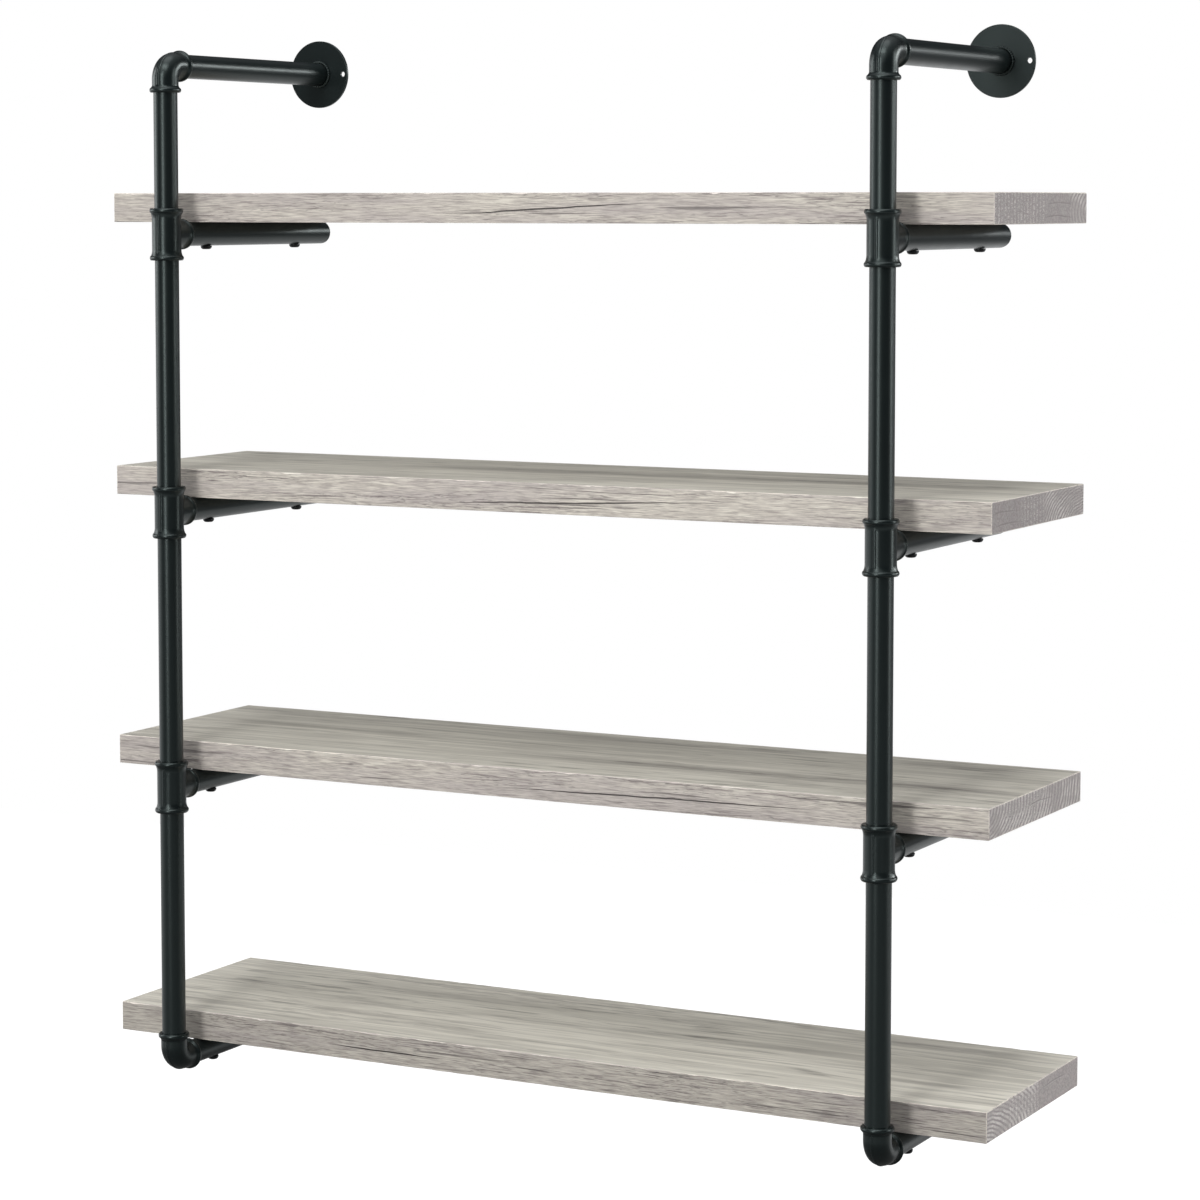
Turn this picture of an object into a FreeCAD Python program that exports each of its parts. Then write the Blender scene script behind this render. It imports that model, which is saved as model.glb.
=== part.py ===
import FreeCAD, Part
import Sketcher
import math
import os
from FreeCAD import Placement, Rotation, Vector

# Wall bookshelf: four boards on a pair of black tube-and-fitting frames.
# Frame: X along the boards, Y into the wall, Z up.
# Origin: on the wall plane, midway between the two wall flanges, at the height
# of the top tubes' axes. The boards and frames hang in front of the wall, at negative Y.

os.makedirs("parts", exist_ok=True)
doc = FreeCAD.newDocument("WallBookshelf")
sheet = doc.addObject("Spreadsheet::Sheet", "Sizes")

# Driving dimensions in millimetres
ROWS = [
    ("board_length", 1016.0),
    ("board_depth", 254.0),
    ("board_thickness", 31.0),
    ("board_arris", 0.8),
    ("board_overhang", 97.0),
    ("board_setback", 41.0),
    ("board_wall_gap", 10.0),
    ("riser_clear", 121.8),
    ("tier_clear", 240.0),
    ("tube_diameter", 25.4),
    ("tube_wall", 1.6),
    ("thread_step", 0.3),
    ("thread_chamfer", 0.6),
    ("socket_depth", 13.0),
    ("socket_clearance", 0.1),
    ("tee_wall", 3.0),
    ("tee_reach", 27.5),
    ("tee_branch_wall", 1.6),
    ("tee_branch_reach", 30.0),
    ("tee_band_rise", 2.5),
    ("branch_band_rise", 2.2),
    ("elbow_wall", 1.5),
    ("elbow_leg", 13.5),
    ("elbow_crotch", 1.0),
    ("elbow_band_rise", 2.7),
    ("band_width", 5.0),
    ("flare_length", 6.0),
    ("elbow_flare_length", 3.0),
    ("seam_width", 1.2),
    ("seam_height", 0.35),
    ("flange_diameter", 75.0),
    ("flange_thickness", 3.0),
    ("flange_edge", 0.6),
    ("flange_hole_diameter", 5.8),
    ("flange_hole_inset", 6.0),
    ("weld_leg", 2.6),
    ("weld_crown", 0.4),
    ("front_bolt_inset", 33.0),
    ("rear_bolt_inset", 46.0),
    ("bolt_diameter", 6.0),
    ("bolt_head_diameter", 12.0),
    ("bolt_head_rim", 1.0),
    ("bolt_head_dome", 2.8),
    ("bolt_key_width", 4.0),
    ("bolt_key_depth", 2.2),
    ("bolt_tip_margin", 1.4),
    ("bolt_hole_clearance", 0.3),
    ("insert_diameter", 10.0),
    ("insert_length", 16.0),
    ("insert_clearance", 0.1),
    ("insert_tip_gap", 2.0),
    ("plug_face", 2.0),
    ("plug_lip_step", 0.2),
    ("plug_edge", 0.6),
    ("plug_skirt", 9.0),
    ("plug_wall", 1.4),
    ("plug_clearance", 0.15),
    ("overrun", 2.0),
]
for row, (alias, value) in enumerate(ROWS, start=1):
    sheet.set("A%d" % row, alias)
    sheet.set("B%d" % row, str(value))
    sheet.setAlias("B%d" % row, alias)
doc.recompute()

# Shares chosen by hand
BAND_ROOT_SHARE = 0.5
DOME_TOP_SHARE = 0.5


class Size:
    """A length, with the expression that ties it to the sheet."""

    def __init__(self, value, text):
        self.value = float(value)
        self.text = text

    def __add__(self, other):
        other = as_size(other)
        return Size(self.value + other.value, "(%s + %s)" % (self.text, other.text))

    def __sub__(self, other):
        other = as_size(other)
        return Size(self.value - other.value, "(%s - %s)" % (self.text, other.text))

    def __mul__(self, other):
        other = as_size(other)
        return Size(self.value * other.value, "(%s * %s)" % (self.text, other.text))

    def __truediv__(self, other):
        other = as_size(other)
        return Size(self.value / other.value, "(%s / %s)" % (self.text, other.text))

    def __neg__(self):
        return Size(-self.value, "(0 - %s)" % self.text)

    __radd__ = __add__
    __rmul__ = __mul__


def as_size(number):
    if isinstance(number, Size):
        return number
    return Size(number, repr(float(number)))


def size(alias):
    return Size(getattr(sheet, alias), "Sizes." + alias)


def bind(obj, name, value):
    """Set a property and tie it to the sheet."""
    value = as_size(value)
    setattr(obj, name, value.value)
    obj.setExpression(name, value.text)


NODES = []


def new_body(label):
    body = doc.addObject("PartDesign::Body", label)
    body.Label = label
    NODES.append(body)
    return body


def put(obj, x, y, z, rotation=None):
    """Place a sub-part at sizes of the sheet."""
    sizes = [as_size(part) for part in (x, y, z)]
    turn = rotation or Rotation()
    obj.Placement = Placement(Vector(*[part.value for part in sizes]), turn)
    for axis, part in zip("xyz", sizes):
        obj.setExpression("Placement.Base." + axis, part.text)


def new_sketch(body, role, name, lift=None):
    """A sketch on one of the body's own origin planes, lifted off it if asked."""
    sketch = body.newObject("Sketcher::SketchObject", body.Name + name)
    for plane in body.Origin.OriginFeatures:
        if plane.Role == role:
            sketch.AttachmentSupport = [(plane, "")]
    sketch.MapMode = "FlatFace"
    if lift is not None:
        sketch.AttachmentOffset = Placement(Vector(0, 0, lift.value), Rotation())
        sketch.setExpression(".AttachmentOffset.Base.z", lift.text)
    return sketch


def tie(sketch, kind, geometry, position, value):
    """Tie one coordinate of a sketch point to the sheet."""
    value = as_size(value)
    if value.text == "0.0":
        axis = -2 if kind == "DistanceX" else -1
        sketch.addConstraint(Sketcher.Constraint("PointOnObject", geometry, position, axis))
        return
    if value.value < 0:
        value = -value
        index = sketch.addConstraint(
            Sketcher.Constraint(kind, geometry, position, -1, 1, value.value))
    else:
        index = sketch.addConstraint(
            Sketcher.Constraint(kind, -1, 1, geometry, position, value.value))
    sketch.setExpression("Constraints[%d]" % index, value.text)


def outline(sketch, points, closed=True):
    """Lines and arcs through points; an arc's point also gives its centre.

    A point is (x, y) for a line to the next point, or
    (x, y, centre x, centre y, turn) for an arc to it, turn +1 being anticlockwise."""
    count = len(points)
    spans = count if closed else count - 1
    for index in range(spans):
        here = points[index]
        there = points[(index + 1) % count]
        start = Vector(as_size(here[0]).value, as_size(here[1]).value, 0)
        end = Vector(as_size(there[0]).value, as_size(there[1]).value, 0)
        if len(here) == 2:
            sketch.addGeometry(Part.LineSegment(start, end), False)
            continue
        centre = Vector(as_size(here[2]).value, as_size(here[3]).value, 0)
        radius = (start - centre).Length
        first = math.atan2(start.y - centre.y, start.x - centre.x)
        last = math.atan2(end.y - centre.y, end.x - centre.x)
        if here[4] < 0:
            first, last = last, first
        circle = Part.Circle(centre, Vector(0, 0, 1), radius)
        sketch.addGeometry(Part.ArcOfCircle(circle, first, last), False)
    for index in range(spans):
        here = points[index]
        forward = len(here) == 2 or here[4] > 0
        begin = 1 if forward else 2
        finish = 2 if forward else 1
        tie(sketch, "DistanceX", index, begin, here[0])
        tie(sketch, "DistanceY", index, begin, here[1])
        if closed or index + 1 < spans:
            following = points[(index + 1) % count]
            ahead = len(following) == 2 or following[4] > 0
            sketch.addConstraint(Sketcher.Constraint(
                "Coincident", index, finish, (index + 1) % spans, 1 if ahead else 2))
        else:
            there = points[index + 1]
            tie(sketch, "DistanceX", index, finish, there[0])
            tie(sketch, "DistanceY", index, finish, there[1])
        if len(here) == 5:
            there = points[(index + 1) % count]
            run_x = abs(as_size(there[0]).value - as_size(here[0]).value)
            run_y = abs(as_size(there[1]).value - as_size(here[1]).value)
            if run_y > run_x:
                tie(sketch, "DistanceX", index, 3, here[2])
            else:
                tie(sketch, "DistanceY", index, 3, here[3])


def disc(sketch, x, y, radius):
    """A circle tied to the sheet."""
    centre = Vector(as_size(x).value, as_size(y).value, 0)
    index = sketch.addGeometry(Part.Circle(centre, Vector(0, 0, 1), radius.value), False)
    tie(sketch, "DistanceX", index, 3, x)
    tie(sketch, "DistanceY", index, 3, y)
    limit = sketch.addConstraint(Sketcher.Constraint("Radius", index, radius.value))
    sketch.setExpression("Constraints[%d]" % limit, radius.text)


def turned(body, name, role, axis, points, kind="Revolution"):
    """A full turn of an outline about a sketch axis, added or cut."""
    sketch = new_sketch(body, role, name + "Profile")
    outline(sketch, points)
    feature = body.newObject("PartDesign::" + kind, body.Name + name)
    feature.Profile = sketch
    feature.ReferenceAxis = (sketch, [axis])
    feature.Angle = 360.0
    return feature


def upright_turned(body, name, points, kind="Revolution"):
    """Turned about Z; points are (radius, height)."""
    return turned(body, name, "XZ_Plane", "V_Axis", points, kind)


def level_turned(body, name, points, kind="Revolution"):
    """Turned about Y; points are (radius, distance along Y)."""
    swapped = []
    for point in points:
        if len(point) == 2:
            swapped.append((point[1], point[0]))
        else:
            swapped.append((point[1], point[0], point[3], point[2], -point[4]))
    return turned(body, name, "YZ_Plane", "H_Axis", swapped, kind)


def through(body, name, sketch):
    """Cut a sketch through the whole solid, both ways."""
    pocket = body.newObject("PartDesign::Pocket", body.Name + name)
    pocket.Profile = sketch
    pocket.Type = 1
    pocket.Midplane = True
    return pocket


# Shared fits: every tube end screws into a socket of the same bore
tube_radius = size("tube_diameter") / 2
tube_bore = tube_radius - size("tube_wall")
thread_radius = tube_radius - size("thread_step")
socket_radius = thread_radius + size("socket_clearance")
tee_radius = socket_radius + size("tee_wall")
branch_radius = socket_radius + size("tee_branch_wall")
elbow_radius = socket_radius + size("elbow_wall")
elbow_bend = elbow_radius + size("elbow_crotch")
elbow_reach = elbow_bend + size("elbow_leg")
bolt_radius = size("bolt_diameter") / 2
bolt_engagement = size("insert_length") - size("bolt_tip_margin")

# Heights of the four tiers' tube axes, from the top tubes down
tier_heights = [-(elbow_reach + size("riser_clear") + size("tee_reach"))]
for step in range(2):
    tier_heights.append(tier_heights[-1] - size("tee_reach") * 2 - size("tier_clear"))
tier_heights.append(tier_heights[-1] - size("tee_reach") - size("tier_clear") - elbow_reach)

# Depths measured from the wall, and the distance between the two frames
board_front = -size("board_wall_gap") - size("board_depth")
upright_y = board_front - size("board_setback")
bolt_spacing = size("board_depth") - size("front_bolt_inset") - size("rear_bolt_inset")
bolt_rows = [board_front + size("front_bolt_inset")]
bolt_rows.append(bolt_rows[0] + bolt_spacing)
frame_span = size("board_length") - size("board_overhang") * 2


def tube_profile(start, end, threads):
    """Half section of a tube from start to end, with a stepped thread at the named ends."""
    step = size("thread_chamfer")
    depth = size("socket_depth")
    points = [(tube_bore, start)]
    if "start" in threads:
        points.append((thread_radius - step, start))
        points.append((thread_radius, start + step))
        points.append((thread_radius, start + depth))
        points.append((tube_radius, start + depth))
    else:
        points.append((tube_radius, start))
    if "end" in threads:
        points.append((tube_radius, end - depth))
        points.append((thread_radius, end - depth))
        points.append((thread_radius, end - step))
        points.append((thread_radius - step, end))
    else:
        points.append((tube_radius, end))
    points.append((tube_bore, end))
    return points


def mouth(radius, rise, flare, reach):
    """Outside of a fitting's mouth, from its wall to its face: a flare, then a round band."""
    root = rise * BAND_ROOT_SHARE
    crown = rise - root
    half = size("band_width") / 2
    flare_radius = (root * root + flare * flare) / (root * 2)
    band_radius = (crown * crown + half * half) / (crown * 2)
    start = reach - size("band_width") - flare
    return [
        (radius, start, radius + flare_radius, start, -1),
        (radius + root, reach - half * 2, radius + rise - band_radius, reach - half, 1),
        (radius + root, reach),
    ]


def flipped(points):
    """The same half section, mirrored in height and listed the other way round."""
    result = []
    for index in range(len(points) - 1, -1, -1):
        x, y = points[index][0], points[index][1]
        if index > 0 and len(points[index - 1]) == 5:
            arc = points[index - 1]
            result.append((x, -y, arc[2], -arc[3], arc[4]))
        else:
            result.append((x, -y))
    return result


def seam_plate(body, name, points):
    """A thin plate in the parting plane that leaves the mould's seam standing."""
    sketch = new_sketch(body, "YZ_Plane", name + "Profile")
    outline(sketch, points)
    pad = body.newObject("PartDesign::Pad", body.Name + name)
    pad.Profile = sketch
    pad.Midplane = True
    bind(pad, "Length", size("seam_width"))


def socket_bore(start, reach):
    """Half section of a bore from start to past the mouth, with the socket's stop shoulder."""
    shoulder = reach - size("socket_depth")
    past = reach + size("overrun")
    return [(0, start), (tube_bore, start), (tube_bore, shoulder), (socket_radius, shoulder),
            (socket_radius, past), (0, past)]


# Tee: a cast run and branch with flared, banded mouths and a mould seam
def make_tee(label):
    body = new_body(label)
    reach = size("tee_reach")
    branch = size("tee_branch_reach")
    top = mouth(tee_radius, size("tee_band_rise"), size("flare_length"), reach)
    upright_turned(body, "Run", [(0, -reach)] + flipped(top) + top + [(0, reach)])
    side = mouth(branch_radius, size("branch_band_rise"), size("flare_length"), branch)
    level_turned(body, "Branch", [(0, 0), (branch_radius, 0)] + side + [(0, branch)])
    edge = tee_radius + size("seam_height")
    end = reach - size("band_width")
    seam_plate(body, "RunSeam", [(-edge, -end), (edge, -end), (edge, end), (-edge, end)])
    edge = branch_radius + size("seam_height")
    end = branch - size("band_width")
    seam_plate(body, "BranchSeam", [(0, -edge), (end, -edge), (end, edge), (0, edge)])
    shoulder = reach - size("socket_depth")
    past = reach + size("overrun")
    upright_turned(body, "RunBore", [
        (0, -past), (socket_radius, -past), (socket_radius, -shoulder), (tube_bore, -shoulder),
        (tube_bore, shoulder), (socket_radius, shoulder), (socket_radius, past), (0, past),
    ], "Groove")
    level_turned(body, "BranchBore", socket_bore(0, branch), "Groove")
    return body


def bend_path(end):
    """Path of an elbow's axis: up one leg, round the bend, out along the other."""
    return [(0, -end), (0, -elbow_bend, elbow_bend, -elbow_bend, -1), (elbow_bend, 0), (end, 0)]


def bend_pipe(body, name, kind, radius, end):
    """A round pipe swept along an elbow's axis, added or cut."""
    spine = new_sketch(body, "YZ_Plane", name + "Path")
    outline(spine, bend_path(end), closed=False)
    circle = new_sketch(body, "XY_Plane", name + "Circle", lift=-end)
    disc(circle, 0, 0, radius)
    pipe = body.newObject("PartDesign::" + kind, body.Name + name)
    pipe.Profile = circle
    pipe.Spine = (spine, ["Edge1", "Edge2", "Edge3"])
    return pipe


# Elbow: a swept bend with a banded mouth on each leg and a mould seam round its outside
def make_elbow(label):
    body = new_body(label)
    end = elbow_reach - size("band_width")
    bend_pipe(body, "Bend", "AdditivePipe", elbow_radius, end)
    lip = mouth(elbow_radius, size("elbow_band_rise"), size("elbow_flare_length"), elbow_reach)
    start = elbow_reach - size("band_width") - size("elbow_flare_length")
    upright_turned(body, "LowerMouth", [(0, -elbow_reach)] + flipped(lip) + [(0, -start)])
    level_turned(body, "WallMouth", [(0, start)] + lip + [(0, elbow_reach)])
    edge = elbow_radius + size("seam_height")
    seam_plate(body, "Seam", [
        (-edge, -end),
        (edge, -end),
        (edge, -elbow_bend, elbow_bend, -elbow_bend, -1),
        (elbow_bend, -edge),
        (end, -edge),
        (end, edge),
        (elbow_bend, edge, elbow_bend, -elbow_bend, 1),
        (-edge, -elbow_bend),
    ])
    bend_pipe(body, "Bore", "SubtractivePipe", tube_bore, elbow_reach + size("overrun"))
    shoulder = elbow_reach - size("socket_depth")
    past = elbow_reach + size("overrun")
    upright_turned(body, "LowerSocket", [
        (0, -past), (socket_radius, -past), (socket_radius, -shoulder), (0, -shoulder),
    ], "Groove")
    level_turned(body, "WallSocket", [
        (0, shoulder), (socket_radius, shoulder), (socket_radius, past), (0, past),
    ], "Groove")
    return body


# Upright: a tube between two fittings, threaded at both ends
def make_upright(label, clear):
    body = new_body(label)
    half = clear / 2 + size("socket_depth")
    upright_turned(body, "Tube", tube_profile(-half, half, ("start", "end")))
    return body


# Level tube: threaded at its fitting, plain at the wall
def make_level_tube(label, length):
    body = new_body(label)
    level_turned(body, "Tube", tube_profile(as_size(0), length, ("start",)))
    return body


def drill_arm(body, start):
    """Clearance holes through both walls of an arm, one at each bolt row."""
    sketch = new_sketch(body, "XY_Plane", "BoltHoles")
    for row in bolt_rows:
        disc(sketch, 0, row - start, bolt_radius + size("bolt_hole_clearance"))
    through(body, "Drilling", sketch)


# Wall flange: a flat round plate with two screw holes, level with the tube
def make_flange(label):
    body = new_body(label)
    radius = size("flange_diameter") / 2
    thick = size("flange_thickness")
    edge = size("flange_edge")
    level_turned(body, "Plate", [
        (0, -thick), (radius - edge, -thick, radius - edge, -thick + edge, 1),
        (radius, -thick + edge), (radius, 0), (0, 0),
    ])
    sketch = new_sketch(body, "XZ_Plane", "ScrewHoles")
    for sign in (-1, 1):
        disc(sketch, (radius - size("flange_hole_inset")) * sign, 0,
             size("flange_hole_diameter") / 2)
    through(body, "Drilling", sketch)
    return body


# Weld: a bead round the tube, in the corner with the flange
def make_weld(label):
    body = new_body(label)
    leg = size("weld_leg")
    crown = size("weld_crown")
    half_chord_square = leg * leg / 2
    bead_radius = (crown * crown + half_chord_square) / (crown * 2)
    inward = (bead_radius - crown) * math.sqrt(1 / 2)
    level_turned(body, "Bead", [
        (tube_radius, 0), (tube_radius, -leg,
                           tube_radius + leg / 2 - inward, inward - leg / 2, 1),
        (tube_radius + leg, 0),
    ])
    return body


# Arm plug: a cap pressed into the arm's end, its face on the wall
def make_plug(label):
    body = new_body(label)
    face = size("plug_face")
    end = face + size("plug_skirt")
    edge = size("plug_edge")
    outer = tube_bore - size("plug_clearance")
    inner = outer - size("plug_wall")
    rim = tube_radius - size("plug_lip_step")
    level_turned(body, "Cap", [
        (0, -face), (inner, -face), (inner, -end), (outer, -end), (outer, -face), (rim, -face),
        (rim, -edge), (rim - edge, 0), (0, 0),
    ])
    return body


def four_places(body, originals, sketch):
    """Repeat features at the other arm and at the other bolt row."""
    across = body.newObject("PartDesign::LinearPattern", body.Name + "Across")
    across.Direction = (sketch, ["H_Axis"])
    across.Occurrences = 2
    bind(across, "Length", frame_span)
    back = body.newObject("PartDesign::LinearPattern", body.Name + "Back")
    back.Direction = (sketch, ["V_Axis"])
    back.Occurrences = 2
    bind(back, "Length", bolt_spacing)
    repeat = body.newObject("PartDesign::MultiTransform", body.Name + "Repeat")
    repeat.Originals = originals
    repeat.Transformations = [across, back]
    body.Tip = repeat


# Shelf board: a laminated plank with eased edges, bored from below for four inserts
def make_board(label):
    body = new_body(label)
    half = size("board_length") / 2
    sketch = new_sketch(body, "XY_Plane", "Plan")
    depth = size("board_depth")
    outline(sketch, [(-half, 0), (half, 0), (half, depth), (-half, depth)])
    pad = body.newObject("PartDesign::Pad", body.Name + "Plank")
    pad.Profile = sketch
    bind(pad, "Length", size("board_thickness"))
    doc.recompute()
    easing = body.newObject("PartDesign::Chamfer", body.Name + "Arris")
    easing.Base = (pad, ["Edge%d" % (count + 1) for count in range(len(pad.Shape.Edges))])
    bind(easing, "Size", size("board_arris"))
    hole = new_sketch(body, "XY_Plane", "InsertHole")
    disc(hole, -frame_span / 2, size("front_bolt_inset"),
         size("insert_diameter") / 2 + size("insert_clearance"))
    bore = body.newObject("PartDesign::Pocket", body.Name + "InsertBore")
    bore.Profile = hole
    bore.Reversed = True
    bind(bore, "Length", size("insert_length") + size("insert_tip_gap"))
    four_places(body, [bore], hole)
    return body


def new_part_set(label):
    """A body that holds one small part at each of a shelf's four places."""
    body = new_body(label)
    body.AllowCompound = True
    return body


# Bolt set: button heads under the arms, shanks through the tubes into the inserts
def make_bolts(label):
    body = new_part_set(label)
    head = size("bolt_head_diameter") / 2
    rim = size("bolt_head_rim")
    low = rim + size("bolt_head_dome")
    flat = head * DOME_TOP_SHARE
    fall = head - flat
    dome = size("bolt_head_dome")
    round_radius = (fall * fall + dome * dome) / (dome * 2)
    tip = size("tube_diameter") + bolt_engagement
    column = -frame_span / 2
    row = size("front_bolt_inset")
    sketch = new_sketch(body, "XZ_Plane", "BoltProfile")
    sketch.AttachmentOffset = Placement(Vector(column.value, 0, -row.value), Rotation())
    sketch.setExpression(".AttachmentOffset.Base.x", column.text)
    sketch.setExpression(".AttachmentOffset.Base.z", (-row).text)
    outline(sketch, [
        (0, -low), (flat, -low, flat, round_radius - low, 1), (head, -rim), (head, 0),
        (bolt_radius, 0), (bolt_radius, tip), (0, tip),
    ])
    bolt = body.newObject("PartDesign::Revolution", body.Name + "Bolt")
    bolt.Profile = sketch
    bolt.ReferenceAxis = (sketch, ["V_Axis"])
    bolt.Angle = 360.0
    key = new_sketch(body, "XY_Plane", "KeyProfile", lift=-low)
    corner = size("bolt_key_width") / math.sqrt(3)
    outline(key, [(column + corner * math.cos(math.pi / 3 * turn),
                   row + corner * math.sin(math.pi / 3 * turn)) for turn in range(6)])
    recess = body.newObject("PartDesign::Pocket", body.Name + "Key")
    recess.Profile = key
    recess.Reversed = True
    bind(recess, "Length", size("bolt_key_depth"))
    four_places(body, [bolt, recess], key)
    return body


# Insert set: threaded sleeves let into the board's underside
def make_inserts(label):
    body = new_part_set(label)
    ring = new_sketch(body, "XY_Plane", "InsertPlan")
    column = -frame_span / 2
    disc(ring, column, size("front_bolt_inset"), size("insert_diameter") / 2)
    disc(ring, column, size("front_bolt_inset"), bolt_radius + size("socket_clearance"))
    sleeve = body.newObject("PartDesign::Pad", body.Name + "Sleeve")
    sleeve.Profile = ring
    bind(sleeve, "Length", size("insert_length"))
    four_places(body, [sleeve], ring)
    return body


# The two side frames, mirrored about the middle
for side, sign in (("left", -1), ("right", 1)):
    side_x = frame_span * sign / 2
    put(make_flange(side + "_wall_flange"), side_x, 0, 0)
    put(make_weld(side + "_flange_weld"), side_x, -size("flange_thickness"), 0)
    corner_y = upright_y + elbow_reach - size("socket_depth")
    put(make_level_tube(side + "_top_pipe", -size("flange_thickness") - corner_y),
        side_x, corner_y, 0)
    put(make_elbow(side + "_top_elbow"), side_x, upright_y, 0)
    height = -elbow_reach - size("riser_clear") / 2
    put(make_upright(side + "_upright_1", size("riser_clear")), side_x, upright_y, height)
    for tier in range(4):
        number = str(tier + 1)
        height = tier_heights[tier]
        if tier < 3:
            put(make_tee(side + "_tee_" + number), side_x, upright_y, height)
            reach = size("tee_branch_reach")
            middle = height - size("tee_reach") - size("tier_clear") / 2
            put(make_upright(side + "_upright_" + str(tier + 2), size("tier_clear")),
                side_x, upright_y, middle)
        else:
            put(make_elbow(side + "_bottom_elbow"), side_x, upright_y, height,
                Rotation(Vector(0, 1, 0), 180))
            reach = elbow_reach
        arm_y = upright_y + reach - size("socket_depth")
        arm = make_level_tube(side + "_arm_" + number, -size("plug_face") - arm_y)
        drill_arm(arm, arm_y)
        put(arm, side_x, arm_y, height)
        put(make_plug(side + "_arm_plug_" + number), side_x, 0, height)

# The four shelves, with the bolts and inserts that hold them to the arms
for tier in range(4):
    label = "shelf_" + str(tier + 1)
    seat = tier_heights[tier] + tube_radius
    put(make_board(label), 0, board_front, seat)
    put(make_bolts(label + "_bolts"), 0, board_front, seat - size("tube_diameter"))
    put(make_inserts(label + "_inserts"), 0, board_front, seat)

doc.recompute()

# Every object is sound before anything is written
for obj in doc.Objects:
    if "Invalid" in obj.State or "Error" in obj.State:
        raise RuntimeError("%s failed: %s" % (obj.Name, obj.State))
for body in NODES:
    if body.Shape.isNull() or not body.Shape.isValid():
        raise RuntimeError("%s has no sound shape" % body.Label)
for body in NODES:
    body.Shape.exportStep("parts/%s.step" % body.Label)
    print("%-24s %2d solid %12.1f mm3" % (
        body.Label, len(body.Shape.Solids), body.Shape.Volume))
print(len(NODES), "sub-parts")
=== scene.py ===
import bpy
import bmesh
import math
import random
from mathutils import Matrix, Vector, noise


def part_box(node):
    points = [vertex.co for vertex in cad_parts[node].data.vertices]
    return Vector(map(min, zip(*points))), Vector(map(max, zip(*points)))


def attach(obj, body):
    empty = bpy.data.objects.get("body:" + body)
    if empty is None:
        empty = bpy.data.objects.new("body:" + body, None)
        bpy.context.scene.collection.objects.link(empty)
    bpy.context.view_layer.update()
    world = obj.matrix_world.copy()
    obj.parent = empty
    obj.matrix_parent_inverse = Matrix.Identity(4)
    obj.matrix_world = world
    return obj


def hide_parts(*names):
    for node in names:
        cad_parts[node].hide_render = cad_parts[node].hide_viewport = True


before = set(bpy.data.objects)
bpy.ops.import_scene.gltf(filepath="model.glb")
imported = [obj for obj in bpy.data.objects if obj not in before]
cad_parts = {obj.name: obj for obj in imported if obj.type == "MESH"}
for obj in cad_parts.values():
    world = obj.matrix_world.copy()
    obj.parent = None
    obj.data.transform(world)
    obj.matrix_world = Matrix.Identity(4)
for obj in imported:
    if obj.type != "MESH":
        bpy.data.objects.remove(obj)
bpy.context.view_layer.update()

# Studio: the photograph's viewing angle, from the right and a little above the
# middle, with a long lens. A dark grey floor that glows pale lies below the hung
# shelf, a bright backdrop glows behind it and large soft boxes stand in front.
PICTURE_PIXELS = 1200
SENSOR_MM = 36.0
LENS_PIXELS = 3504.5
SHIFT_PIXELS = -132.0
CAMERA_PLACE = (1.7277, -3.3807, -0.1439)
CAMERA_DIP_DEGREES = 4.336
CAMERA_TURN_DEGREES = 27.779
SIGHT_LENGTH = 60.0
camera_data = bpy.data.cameras.new("photo_camera")
camera_data.sensor_width = SENSOR_MM
camera_data.lens = LENS_PIXELS / PICTURE_PIXELS * SENSOR_MM
camera_data.shift_y = SHIFT_PIXELS / PICTURE_PIXELS
camera_data.clip_end = SIGHT_LENGTH
camera = bpy.data.objects.new("photo_camera", camera_data)
bpy.context.scene.collection.objects.link(camera)
camera.location = CAMERA_PLACE
camera.rotation_euler = (math.radians(90.0 - CAMERA_DIP_DEGREES), 0.0,
                         math.radians(CAMERA_TURN_DEGREES))
bpy.context.scene.camera = camera
bpy.context.scene.view_settings.view_transform = "Standard"


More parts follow.
